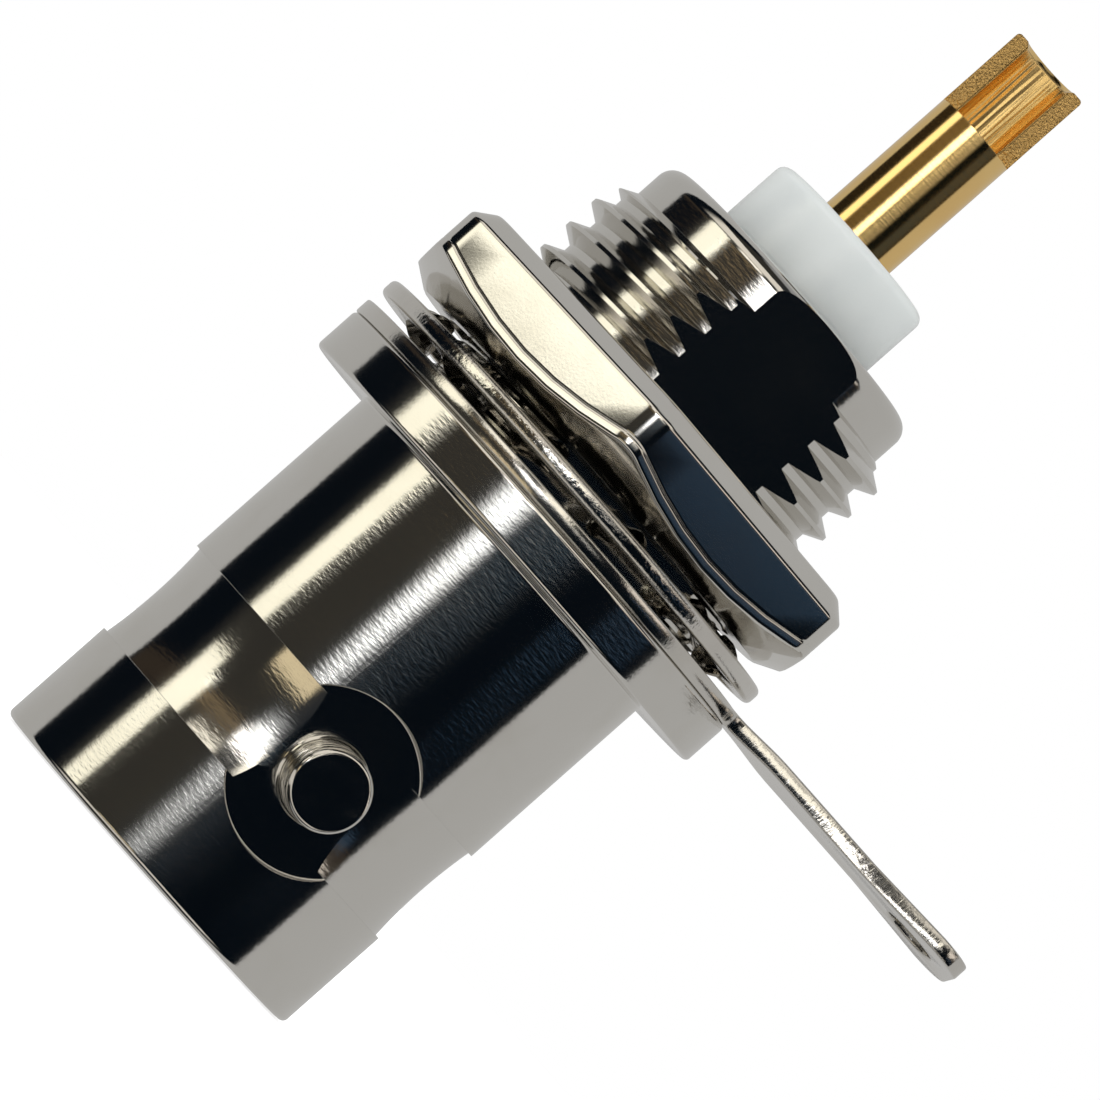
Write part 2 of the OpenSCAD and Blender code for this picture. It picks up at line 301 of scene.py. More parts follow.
@dataclass(frozen=True)
class MetalFinish:
    """A plated metal with turning marks, fine grain, rough milled faces and sheared edges.

    A tilt is the slope of a mark, a size or pitch is its breadth in millimetres, and a mark is
    left out where its tilt, place or edge is 0.
    """

    name: str
    colour: Rgb
    tarnish: Rgb
    roughness: float
    grain_tilt: float
    grain_size: float
    ring_tilt: float = 0.0
    ring_pitch: float = 0.1
    ring_reach: float = 0.5
    milled_tilt: float = 0.0
    milled_size: float = 0.11
    milled_rough: float = 0.0
    milled_dull: float = 0.0
    flat_x: float = 0.0
    flat_z: float = 12.4
    boss_z: float = 0.0
    boss_r: float = 1.09
    boss_x: float = 4.5
    boss_step: float = 0.05
    boss_pitch: float = 0.125
    edge: float = 0.03
    shear_tilt: float = 0.0
    shear_size: float = 0.08
    shear_from: float = 0.0
    bore_r: float = 0.0
    bore_rough: float = 0.13
    flute_tilt: float = 0.4
    flute_size: float = 0.16

    def build(self) -> bpy.types.Material:
        """The material, mixed the first time that it is asked for."""
        return bpy.data.materials.get(self.name) or self.mix()

    def mix(self) -> bpy.types.Material:
        """Mixes the marks, the film and the plating's colour.

        Returns:
            A new node material on object coordinates.
        """
        material = bpy.data.materials.new(self.name)
        material.use_nodes = True
        graph = Graph(material.node_tree)
        shader = material.node_tree.nodes["Principled BSDF"]
        coordinates = graph.node("ShaderNodeTexCoord")
        place = graph.scaled(coordinates.outputs["Object"], 1 / MM)
        x, y, z = graph.split(place)
        normal_x, normal_y, normal_z = graph.split(coordinates.outputs["Normal"])
        radius = (x * x + y * y) ** 0.5

        # A milled face is one that looks neither along the axis nor straight away from it.
        outward = (normal_x * x + normal_y * y) / radius.most(0.01)
        milled = (outward * outward + normal_z * normal_z).ramp(0.97, 0.86)
        grain = graph.noise(place, 1 / self.grain_size, 3.0)
        height = grain * (self.grain_tilt * self.grain_size)
        if self.flat_x:
            on_flat = x.ramp(self.flat_x - 0.02, self.flat_x - 0.01)
            milled = milled.most(on_flat * z.ramp(self.flat_z - 0.1, self.flat_z + 0.1))
        if self.boss_z:
            away = (y * y + (z - self.boss_z) ** 2.0) ** 0.5
            boss = away.ramp(self.boss_r + 0.03, self.boss_r - 0.03)
            boss = boss * x.size().ramp(self.boss_x, self.boss_x + 0.05)
            milled = milled.most(boss)
            bands = graph.noise(graph.vector(x, y * 0.12, z * 0.12), 1 / self.boss_pitch, 1.0)
            height = height + bands * boss * self.boss_step
        if self.ring_tilt:
            stretch = self.ring_pitch / self.ring_reach
            wrapped = graph.vector(x * stretch, y * stretch, z + radius)
            rings = graph.noise(wrapped, 1 / self.ring_pitch, 2.0)
            height = height + rings * (1.0 - milled) * (self.ring_tilt * self.ring_pitch)
        if self.milled_tilt:
            speckle = graph.noise(place, 1 / self.milled_size, 2.0)
            height = height + speckle * milled * (self.milled_tilt * self.milled_size)
        if self.shear_tilt:
            wall = normal_z.size().ramp(0.75, 0.35)
            wall = wall * radius.ramp(self.shear_from, self.shear_from + 0.2)
            drag = graph.noise(graph.vector(x, y, z * 0.3), 1 / self.shear_size, 2.0)
            height = height + drag * wall * (self.shear_tilt * self.shear_size)
        film = graph.noise(place, 0.45, 4.0).ramp(0.42, 0.72)
        rough = self.roughness + film * (0.2 * self.roughness) + milled * self.milled_rough
        if self.bore_r:
            bored = radius.ramp(self.bore_r + 0.03, self.bore_r + 0.01)
            rough = rough + bored * self.bore_rough
            wall = normal_z.size().ramp(0.5, 0.3)
            flutes = graph.noise(graph.vector(x, y, z * 0.04), 1 / self.flute_size, 1.0)
            height = height + flutes * bored * wall * (self.flute_tilt * self.flute_size)
        bump = graph.node(
            "ShaderNodeBump", None, {"Strength": 1.0, "Distance": MM, "Height": height}
        )
        if self.edge:
            rounding = graph.node("ShaderNodeBevel", {"samples": 2}, {"Radius": self.edge * MM})
            graph.tree.links.new(rounding.outputs[0], bump.inputs["Normal"])
        colour = graph.blend(film * 0.5, rgba(self.colour), rgba(self.tarnish))
        if self.milled_dull:
            dull = tuple(c * (1.0 - self.milled_dull) for c in self.tarnish)
            colour = graph.blend(milled, colour, rgba(dull))
        graph.tree.links.new(colour, shader.inputs["Base Color"])
        graph.tree.links.new(rough.socket, shader.inputs["Roughness"])
        graph.tree.links.new(bump.outputs[0], shader.inputs["Normal"])
        shader.inputs["Metallic"].default_value = 1.0
        return material


@dataclass(frozen=True)
class ResinFinish:
    """A translucent white turned fluoropolymer."""

    name: str
    colour: Rgb
    stain: Rgb
    roughness: float
    ring_step: float = 0.0002
    mottle_step: float = 0.004
    depth: float = 0.5

    def build(self) -> bpy.types.Material:
        """Mixes faint turning rings, a mottle and a slight depth of white.

        Returns:
            A new node material on object coordinates.
        """
        material = bpy.data.materials.new(self.name)
        material.use_nodes = True
        graph = Graph(material.node_tree)
        shader = material.node_tree.nodes["Principled BSDF"]
        coordinates = graph.node("ShaderNodeTexCoord")
        place = graph.scaled(coordinates.outputs["Object"], 1 / MM)
        x, y, z = graph.split(place)
        radius = (x * x + y * y) ** 0.5
        rings = graph.noise(graph.vector(x * 0.3, y * 0.3, (z + radius) * 14.0), 1.0, 2.0)
        mottle = graph.noise(place, 1.3, 4.0)
        height = rings * self.ring_step + mottle * self.mottle_step
        bump = graph.node(
            "ShaderNodeBump", None, {"Strength": 1.0, "Distance": MM, "Height": height}
        )
        cloud = mottle.ramp(0.45, 0.75)
        colour = graph.blend(cloud * 0.35, rgba(self.colour), rgba(self.stain))
        rough = self.roughness + rings * 0.12
        graph.tree.links.new(colour, shader.inputs["Base Color"])
        graph.tree.links.new(rough.socket, shader.inputs["Roughness"])
        graph.tree.links.new(bump.outputs[0], shader.inputs["Normal"])
        shader.inputs["Subsurface Weight"].default_value = 0.6
        shader.inputs["Subsurface Radius"].default_value = (1.0, 1.0, 1.0)
        shader.inputs["Subsurface Scale"].default_value = self.depth * MM
        shader.inputs["IOR"].default_value = 1.5
        return material


NICKEL = MetalFinish(
    "nickel_turned", (0.71, 0.695, 0.66), (0.65, 0.63, 0.58), roughness=0.085,
    ring_tilt=0.02, ring_pitch=0.08, ring_reach=0.24, grain_tilt=0.007, grain_size=0.045,
    milled_tilt=0.014, milled_size=0.12, milled_rough=0.01, flat_x=3.9, boss_z=4.4, edge=0.012,
)
NUT_PLATE = MetalFinish(
    "nickel_nut", (0.73, 0.715, 0.68), (0.70, 0.68, 0.63), roughness=0.09,
    grain_tilt=0.004, grain_size=0.07, edge=0.0,
)
TAG_PLATE = MetalFinish(
    "nickel_stamped", (0.70, 0.68, 0.64), (0.62, 0.59, 0.53), roughness=0.12,
    grain_tilt=0.03, grain_size=0.08, edge=0.03,
    shear_tilt=0.08, shear_size=0.10, shear_from=6.6,
)
SPRING = MetalFinish(
    "nickel_spring", (0.72, 0.70, 0.66), (0.60, 0.57, 0.52), roughness=0.08,
    grain_tilt=0.07, grain_size=0.12, edge=0.05,
)
GOLD = MetalFinish(
    "gold_turned", (0.98, 0.69, 0.29), (0.93, 0.60, 0.22), roughness=0.12,
    ring_tilt=0.01, ring_pitch=0.07, ring_reach=1.5, grain_tilt=0.008, grain_size=0.06,
    milled_tilt=0.6, milled_size=0.06, milled_rough=0.08, milled_dull=0.3, edge=0.03, bore_r=0.69,
)
RESIN = ResinFinish("fluoropolymer", (0.65, 0.67, 0.665), (0.60, 0.62, 0.625), 0.16)


# ---- Meshes ----


class MeshKit:
    """Ways to make and finish meshes, all in millimetres."""

    @staticmethod
    def mesh(name: str, points: np.ndarray, faces: list[tuple[int, ...]]) -> bpy.types.Mesh:
        """A mesh in metres from points in millimetres.

        Args:
            name: the mesh's name.
            points: one row of three numbers per point.
            faces: the points of each face.

        Returns:
            The new mesh.
        """
        made = bpy.data.meshes.new(name)
        made.from_pydata((np.asarray(points, float) * MM).tolist(), [], faces)
        return made

    @staticmethod
    def grid_faces(rows: int, columns: int, closed: bool) -> list[tuple[int, int, int, int]]:
        """Faces between rows of points that go round the axis.

        Args:
            rows: number of rows.
            columns: points in each row.
            closed: whether the last row joins the first.

        Returns:
            Four points per face.
        """
        faces = []
        for row in range(rows if closed else rows - 1):
            above = (row + 1) % rows
            for column in range(columns):
                beside = (column + 1) % columns
                faces.append((
                    row * columns + column, row * columns + beside,
                    above * columns + beside, above * columns + column,
                ))
        return faces

    @staticmethod
    def lathe(name: str, profile: Loop, closed: bool, columns: int = COLUMNS) -> bpy.types.Mesh:
        """Turns a profile about Z.

        Args:
            name: the mesh's name.
            profile: radius and height of each row.
            closed: whether the profile is a loop.
            columns: points round the axis.

        Returns:
            The new mesh, with poles and seams merged.
        """
        angle = np.arange(columns) * 2 * math.pi / columns
        rows = [
            np.column_stack([r * np.cos(angle), r * np.sin(angle), np.full(columns, z)])
            for r, z in profile
        ]
        faces = MeshKit.grid_faces(len(profile), columns, closed)
        return MeshKit.weld(MeshKit.mesh(name, np.vstack(rows), faces))

    @staticmethod
    def weld(mesh: bpy.types.Mesh, outward: bool = True) -> bpy.types.Mesh:
        """Merges doubles, drops empty faces and points the rest outwards.

        Args:
            mesh: the mesh to mend in place.
            outward: whether the faces are turned outwards.

        Returns:
            The same mesh.
        """
        work = bmesh.new()
        work.from_mesh(mesh)
        bmesh.ops.remove_doubles(work, verts=work.verts, dist=WELD)
        bmesh.ops.dissolve_degenerate(work, edges=work.edges, dist=WELD)
        loose = [v for v in work.verts if not v.link_faces]
        bmesh.ops.delete(work, geom=loose, context="VERTS")
        if outward:
            bmesh.ops.recalc_face_normals(work, faces=work.faces)
        work.to_mesh(mesh)
        work.free()
        return mesh

    @staticmethod
    def join(name: str, meshes: list[bpy.types.Mesh]) -> bpy.types.Mesh:
        """Joins meshes and welds where they meet.

        Args:
            name: the new mesh's name.
            meshes: the parts, which are removed.

        Returns:
            One mesh.
        """
        work = bmesh.new()
        for mesh in meshes:
            work.from_mesh(mesh)
        made = bpy.data.meshes.new(name)
        work.to_mesh(made)
        work.free()
        for mesh in meshes:
            bpy.data.meshes.remove(mesh)
        return MeshKit.weld(made)

    @staticmethod
    def evaluated(scratch: bpy.types.Object) -> bpy.types.Mesh:
        """The mesh that an object's modifiers make, with the object removed.

        Args:
            scratch: a linked object with modifiers.

        Returns:
            A plain mesh.
        """
        depsgraph = bpy.context.evaluated_depsgraph_get()
        made = bpy.data.meshes.new_from_object(scratch.evaluated_get(depsgraph))
        bpy.data.objects.remove(scratch)
        return made

    @staticmethod
    def scratch(mesh: bpy.types.Mesh) -> bpy.types.Object:
        """Makes a linked object to hang modifiers on.

        Args:
            mesh: its mesh.

        Returns:
            The object.
        """
        holder = bpy.data.objects.new("scratch", mesh)
        bpy.context.scene.collection.objects.link(holder)
        return holder

    @staticmethod
    def boolean(body: bpy.types.Mesh, tool: bpy.types.Mesh, operation: str) -> bpy.types.Mesh:
        """Cuts or adds one closed mesh.

        Args:
            body: the mesh that is worked on.
            tool: the cutter or the piece to add.
            operation: DIFFERENCE, UNION or INTERSECT.

        Returns:
            The result as a plain mesh.
        """
        first, second = MeshKit.scratch(body), MeshKit.scratch(tool)
        modifier = first.modifiers.new("cut", "BOOLEAN")
        modifier.solver = "EXACT"
        modifier.operation = operation
        modifier.object = second
        made = MeshKit.evaluated(first)
        bpy.data.objects.remove(second)
        return MeshKit.weld(made, outward=False)

    @staticmethod
    def turned(mesh: bpy.types.Mesh, matrix: Matrix) -> bpy.types.Mesh:
        """Turns and moves a mesh in place.

        Args:
            mesh: the mesh.
            matrix: the move, with its shift in millimetres.

        Returns:
            The same mesh.
        """
        move = matrix.copy()
        move.translation = matrix.translation * MM
        mesh.transform(move)
        return mesh

    @staticmethod
    def box(low: Vector, high: Vector) -> bpy.types.Mesh:
        """A cutter with its faces along the axes.

        Args:
            low: lowest corner in millimetres.
            high: highest corner.

        Returns:
            A closed mesh.
        """
        xs, ys, zs = zip(low, high)
        corners = [(x, y, z) for x in xs for y in ys for z in zs]
        faces = [(0, 1, 3, 2), (4, 6, 7, 5), (0, 4, 5, 1), (2, 3, 7, 6), (0, 2, 6, 4), (1, 5, 7, 3)]
        return MeshKit.weld(MeshKit.mesh("box", np.array(corners), faces))

    @staticmethod
    def arc(
        centre: tuple[float, float], radius: float, start: float, end: float, steps: int
    ) -> Loop:
        """Points on an arc.

        Args:
            centre: radius and height of its centre.
            radius: its radius.
            start: first angle in degrees.
            end: last angle in degrees.
            steps: number of stretches.

        Returns:
            The points, both ends included.
        """
        x, y = centre
        angles = [math.radians(start + (end - start) * i / steps) for i in range(steps + 1)]
        return [(x + radius * math.cos(a), y + radius * math.sin(a)) for a in angles]

    @staticmethod
    def rounded(corners: list[tuple[float, float, float]], steps: int = 4) -> Loop:
        """A closed profile with its corners rounded.

        Args:
            corners: radius, height and rounding of each corner, in order.
            steps: stretches on each rounding.

        Returns:
            The points of the loop.
        """
        made: Loop = []
        count = len(corners)
        for i, (x, y, radius) in enumerate(corners):
            here = Vector((x, y))
            if radius <= 0:
                made.append((x, y))
                continue
            back = (Vector(corners[i - 1][:2]) - here).normalized()
            on = (Vector(corners[(i + 1) % count][:2]) - here).normalized()
            half = back.angle(on) / 2
            reach = radius / math.tan(half)
            centre = here + (back + on).normalized() * (radius / math.sin(half))
            first, last = here + back * reach, here + on * reach
            start = first - centre
            turn = start.angle_signed(last - centre)
            for k in range(steps + 1):
                spoke = start.copy()
                spoke.rotate(Matrix.Rotation(-turn * k / steps, 2))
                made.append(tuple(centre + spoke))
        return made


def dress(
    name: str,
    mesh: bpy.types.Mesh,
    finish: MetalFinish | ResinFinish,
    nodes: tuple[str, ...],
    body: Body,
    sharp: float = 38.0,
) -> bpy.types.Object:
    """Makes a piece of a mesh and sets it on its body.

    Args:
        name: the piece's name.
        mesh: its mesh in metres, in the frame of the part.
        finish: what it is made of.
        nodes: nodes of the frame that it stands for.
        body: the body that carries it.
        sharp: edges that turn by more degrees than this stay sharp.

    Returns:
        The piece.
    """
    mesh.name = name
    mesh.shade_smooth()
    mesh.set_sharp_from_angle(angle=math.radians(sharp))
    holder = MeshKit.scratch(mesh)
    weighted = holder.modifiers.new("even", "WEIGHTED_NORMAL")
    weighted.keep_sharp = True
    weighted.weight = FLAT_WEIGHT
    made = MeshKit.evaluated(holder)
    made.materials.clear()
    made.materials.append(finish.build())
    piece = bpy.data.objects.new(name, made)
    bpy.context.scene.collection.objects.link(piece)
    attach(piece, body.value)
    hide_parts(*nodes)
    log.info("%s: %d faces, rides %s", name, len(made.polygons), body.value)
    return piece


# ---- Geometry rules ----


def new_tree(name: str, inputs: dict[str, str]) -> bpy.types.NodeTree:
    """Starts a geometry tree that takes and gives a geometry.

    Args:
        name: the tree's name.
        inputs: the kind of each further input by name, such as Float or Int.

    Returns:
        The tree, with an input for its finish last.
    """
    tree = bpy.data.node_groups.new(name, "GeometryNodeTree")
    for socket, kind in {"Geometry": "Geometry", **inputs, "Finish": "Material"}.items():
        tree.interface.new_socket(socket, in_out="INPUT", socket_type="NodeSocket" + kind)
    tree.interface.new_socket("Geometry", in_out="OUTPUT", socket_type="NodeSocketGeometry")
    return tree


def finish_tree(graph: Graph, given: bpy.types.Node, last: bpy.types.Node) -> None:
    """Ends a geometry tree with real geometry in its finish.

    Args:
        graph: the tree's graph.
        given: its input node.
        last: the node whose first output is the whole geometry.
    """
    real = graph.node("GeometryNodeRealizeInstances", None, {0: last.outputs[0]})
    painted = graph.node(
        "GeometryNodeSetMaterial",
        None,
        {"Geometry": real.outputs[0], "Material": given.outputs["Finish"]},
    )
    graph.node("NodeGroupOutput", None, {0: painted.outputs[0]})


def run_tree(
    holder: bpy.types.Object,
    tree: bpy.types.NodeTree,
    sizes: dict[str, float],
    finish: MetalFinish,
) -> bpy.types.Mesh:
    """Runs a geometry tree on an object and takes its plain mesh.

    Args:
        holder: a scratch object, which is removed.
        tree: the tree to run.
        sizes: its numbers by name.
        finish: what the geometry is made of.

    Returns:
        The mesh that the tree makes.
    """
    modifier = holder.modifiers.new("rule", "NODES")
    modifier.node_group = tree
    values = {**sizes, "Finish": finish.build()}
    for item in tree.interface.items_tree:
        if item.in_out == "INPUT" and item.name in values:
            modifier[item.identifier] = values[item.name]
    return MeshKit.evaluated(holder)


@dataclass
class Thread:
    """A right-hand sixty-degree thread that runs out at both ends."""

    side: Side
    major_r: float
    minor_r: float
    pitch: float
    start: float
    end: float
    start_r: float
    start_slope: float
    end_r: float
    end_slope: float
    phase: float
    rows_per_turn: int = 16

    def tree(self) -> bpy.types.NodeTree:
        """Builds the tree that wraps a flat grid into the thread.

        Returns:
            A geometry tree with named inputs for every size.
        """
        tree = new_tree("thread_rule", {name: "Float" for name in self.sizes()})
        graph = Graph(tree)
        given = graph.node("NodeGroupInput")
        size = {name: graph.value(given, name) for name in self.sizes()}
        across, up, _ = graph.split(graph.node("GeometryNodeInputPosition").outputs[0])
        turn = across + 0.5
        climb = (up + 0.5) * size["Turns"] - 1.0 + size["Align"]
        height = size["Start"] + size["Pitch"] * (climb + turn)
        height = height.most(size["Start"]).least(size["End"])
        wave = (height / size["Pitch"] - turn + size["Phase"]).math("WRAP", 0.5, -0.5).size()
        root_edge, crest_edge = (1 - ROOT_FLAT) / 2, CREST_FLAT / 2
        flank = ((root_edge - wave) / (root_edge - crest_edge)).most(0.0).least(1.0)
        flank = graph.math("SMOOTH_MIN", flank, 1 - THREAD_EASE / 4, THREAD_EASE)
        flank = graph.math("SMOOTH_MAX", flank, THREAD_EASE / 4, THREAD_EASE)
        thread_r = size["Minor radius"] + flank * (size["Major radius"] - size["Minor radius"])
        side = size["Side"]
        near = side * size["Start radius"] + size["Start slope"] * (height - size["Start"])
        far = side * size["End radius"] + size["End slope"] * (size["End"] - height)
        radius = side * (side * thread_r).least(near).least(far)
        angle = turn * (2 * math.pi)
        spot = graph.vector(radius * angle.math("COSINE"), radius * angle.math("SINE"), height)
        moved = graph.node(
            "GeometryNodeSetPosition", None, {"Geometry": given.outputs[0], "Position": spot}
        )
        merged = graph.node(
            "GeometryNodeMergeByDistance", None, {"Geometry": moved.outputs[0], "Distance": WELD}
        )
        finish_tree(graph, given, merged)
        return tree

    def sizes(self) -> dict[str, float]:
        """The numbers that the tree asks for.

        Returns:
            Its inputs by name, lengths in metres.
        """
        return {
            "Side": self.side.value,
            "Major radius": self.major_r * MM,
            "Minor radius": self.minor_r * MM,
            "Pitch": self.pitch * MM,
            "Start": self.start * MM,
            "End": self.end * MM,
            "Start radius": self.start_r * MM,
            "Start slope": self.start_slope,
            "End radius": self.end_r * MM,
            "End slope": self.end_slope,
            "Turns": self.turns(),
            "Phase": self.phase,
            "Align": self.align(),
        }

    def align(self) -> float:
        """The shift, in turns, that brings the grid's rows onto the crest's and root's edges."""
        steps = (self.start / self.pitch + self.phase) * self.rows_per_turn
        return -(steps % 1.0) / self.rows_per_turn

    def turns(self) -> float:
        """Whole rows of the grid, in turns, with one more for its shear."""
        return math.ceil((self.end - self.start) / self.pitch) + 2.0

    def mesh(self, finish: MetalFinish) -> bpy.types.Mesh:
        """Runs the tree on a flat grid.

        Args:
            finish: what the threaded piece is made of.

        Returns:
            The threaded surface, open at both ends.
        """
        rows = int(self.turns() * self.rows_per_turn) + 1
        across = np.linspace(-0.5, 0.5, COLUMNS + 1)
        up = np.linspace(-0.5, 0.5, rows)
        flat = np.array([(x, y, 0.0) for y in up for x in across])
        wide = COLUMNS + 1
        faces = [
            (r * wide + c, r * wide + c + 1, (r + 1) * wide + c + 1, (r + 1) * wide + c)
            for r in range(rows - 1)
            for c in range(COLUMNS)
        ]
        holder = MeshKit.scratch(MeshKit.mesh("thread", flat / MM, faces))
        return run_tree(holder, self.tree(), self.sizes(), finish)


# ---- Shell ----


@dataclass
class Shell:
    """The turned shell: barrel with studs, flange, threaded shank and rolled end."""

    barrel_r: float = 4.8
    barrel_len: float = 11.0
    rim_edge: float = 0.15
    bore_r: float = 4.05
    mouth_r: float = 4.175
    mouth_len: float = 2.2
    mouth_edge: float = 0.18
    bore_depth: float = 8.4
    web_end: float = 9.2
    nose_r: float = 2.38
    band_low: float = 2.965
    band_high: float = 5.835
    band_step: float = 0.1
    band_hollow: float = 0.08
    flange_r: float = 6.45
    flange_edge: float = 0.12
    flange_foot: float = 0.1
    seat: float = 12.2
    shank_r: float = 4.725
    minor_r: float = 4.29
    pitch: float = 0.79375
    thread_end: float = 18.9
    runout: float = 0.35
    end_r: float = 4.15
    roll_z: float = 19.55
    roll_r: float = 0.45
    rear: float = 20.1
    lip_r: float = 2.5
    shoulder: float = 19.5
    cavity_r: float = 3.25
    flat_x: float = 3.9
    stud_r: float = 1.0
    stud_tip: float = 5.5
    stud_edge: float = 0.12
    stud_root: float = 0.2
    stud_z: float = 4.4
    pocket_r: float = 2.3
    pocket_floor: float = 4.45
    pocket_edge: float = 0.05
    thread_phase: float = 0.0

    def band(self) -> Loop:
        """Rows of the relief band, a hollow between two steps.

        Returns:
            Radius and height of each row, from the low step to the high one.
        """
        half = (self.band_high - self.band_low) / 2
        floor = self.barrel_r - self.band_step
        rise = self.band_hollow
        hollow_r = (half * half + rise * rise) / (2 * rise)
        middle = (self.band_low + self.band_high) / 2
        rows = [
            (self.barrel_r, self.band_low - 0.05),
            (self.barrel_r, self.band_low),
            (floor, self.band_low + 0.005),
        ]
        steps = 14
        for i in range(1, steps):
            z = -half + 2 * half * i / steps
            dip = math.sqrt(hollow_r * hollow_r - z * z) - (hollow_r - rise)
            rows.append((floor - dip, middle + z))
        rows += [
            (floor, self.band_high - 0.005),
            (self.barrel_r, self.band_high),
            (self.barrel_r, self.band_high + 0.05),
        ]
        return rows

    def profile(self) -> Loop:
        """Rows from the thread's foot, round the barrel and through the bore, to the thread's end.

        Returns:
            Radius and height of each row, as an open line.
        """
        kit = MeshKit
        lip, foot, rim, mouth = self.flange_edge, self.flange_foot, self.rim_edge, self.mouth_edge
        rows: Loop = [(self.minor_r, self.seat)]
        rows += kit.arc((self.flange_r - lip, self.seat - lip), lip, 90, 0, 7)
        rows += [
            (self.flange_r, self.seat - lip - 0.03),
            (self.flange_r, self.barrel_len + lip + 0.03),
        ]
        rows += kit.arc((self.flange_r - lip, self.barrel_len + lip), lip, 0, -90, 7)
        rows += kit.arc((self.barrel_r + foot, self.barrel_len - foot), foot, 90, 180, 7)
        rows += [(self.barrel_r, self.barrel_len - foot - 0.03), *reversed(self.band())]
        rows += [(self.barrel_r, rim + 0.03)]
        rows += kit.arc((self.barrel_r - rim, rim), rim, 0, -90, 6)
        rows += kit.arc((self.mouth_r + mouth, mouth), mouth, -90, -180, 6)
        rows += [
            (self.mouth_r, self.mouth_len),
            (self.bore_r, self.mouth_len + 0.125),
            (self.bore_r, self.bore_depth - 0.05),
            (self.bore_r - 0.05, self.bore_depth),
            (self.nose_r, self.bore_depth),
            (self.nose_r, self.web_end),
            (self.cavity_r, self.web_end),
            (self.cavity_r, self.shoulder),
            (self.lip_r, self.shoulder),
        ]
        rows += [(self.lip_r, self.rear - 0.06), (self.lip_r + 0.03, self.rear - 0.01)]
        outer = self.end_r - self.roll_r
        slope = (self.rear - self.roll_z - self.roll_r) / (outer - self.lip_r)
        steps = 8
        for i in range(1, steps + 1):
            r = self.lip_r + 0.03 + (outer - self.lip_r - 0.03) * i / steps
            rows.append((r, self.rear - 0.01 - (r - self.lip_r) * slope))
        rows += kit.arc((outer, self.roll_z), self.roll_r, 80, 0, 12)
        rows += [(self.end_r, self.roll_z - 0.04), (self.end_r, self.thread_end)]
        return rows

    def thread(self) -> Thread:
        """The shank's thread."""
        return Thread(
            Side.OUTER, self.shank_r, self.minor_r, self.pitch, self.seat, self.thread_end,
            start_r=self.minor_r, start_slope=1.0, end_r=self.end_r,
            end_slope=(self.shank_r - self.end_r) / self.runout, phase=self.thread_phase,
        )

    def out_of_barrel(self, mesh: bpy.types.Mesh) -> bpy.types.Mesh:
        """Turns a mesh made along Z to stand at the studs' height along +X."""
        place = Matrix.Translation((0, 0, self.stud_z)) @ Matrix.Rotation(math.pi / 2, 4, "Y")
        return MeshKit.turned(mesh, place)

    def stud(self) -> bpy.types.Mesh:
        """One stud along +X with its turned-down rim.

        Returns:
            A closed mesh that starts inside the barrel's wall.
        """
        kit = MeshKit
        edge, root = self.stud_edge, self.stud_root
        foot = self.stud_r + root
        rows: Loop = [(0.0, self.bore_r + 0.3), (foot - 0.08, self.bore_r + 0.3)]
        rows += kit.arc((foot, self.pocket_floor + root - 0.03), root, 246, 180, 7)
        rows += [(self.stud_r, self.stud_tip - edge - 0.02)]
        rows += kit.arc((self.stud_r - edge, self.stud_tip - edge), edge, 0, 90, 7)
        rows += [(self.stud_r - edge - 0.03, self.stud_tip), (0.0, self.stud_tip - 0.01)]
        return self.out_of_barrel(kit.lathe("stud", rows, False, 72))

    def pocket(self) -> bpy.types.Mesh:
        """The ring that clears the barrel round one stud.

        Returns:
            A closed cutter whose foot has a small round.
        """
        top = self.stud_tip + 1
        inner, floor, edge = self.stud_r * 0.6, self.pocket_floor, self.pocket_edge
        rows: Loop = [(inner, floor), (self.pocket_r - edge - 0.02, floor)]
        rows += [(self.pocket_r - edge, floor)]
        rows += MeshKit.arc((self.pocket_r - edge, floor + edge), edge, -90, 0, 6)
        rows += [(self.pocket_r, top), (inner, top)]
        return self.out_of_barrel(MeshKit.lathe("pocket", rows, True, 96))

    def build(self) -> bpy.types.Object:
        """Turns, threads, mills and dresses the shell.

        Returns:
            The shell's piece.
        """
        kit = MeshKit
        turned = kit.lathe("turned", self.profile(), False)
        mesh = kit.join("shell", [turned, self.thread().mesh(NICKEL)])
        for half_turn in (0.0, math.pi):
            around = Matrix.Rotation(half_turn, 4, "Z")
            mesh = kit.boolean(mesh, kit.turned(self.pocket(), around), "DIFFERENCE")
            mesh = kit.boolean(mesh, kit.turned(self.stud(), around), "UNION")
        wide = self.flange_r + 1.55
        flat = kit.box(
            Vector((self.flat_x, -wide, self.seat)), Vector((wide, wide, self.rear + 1))
        )
        mesh = kit.boolean(mesh, flat, "DIFFERENCE")
        return dress(
            "shell_turned", mesh, NICKEL, ("shell",), Body.CONNECTOR, sharp=18.0
        )


# ---- Insulators and contact ----


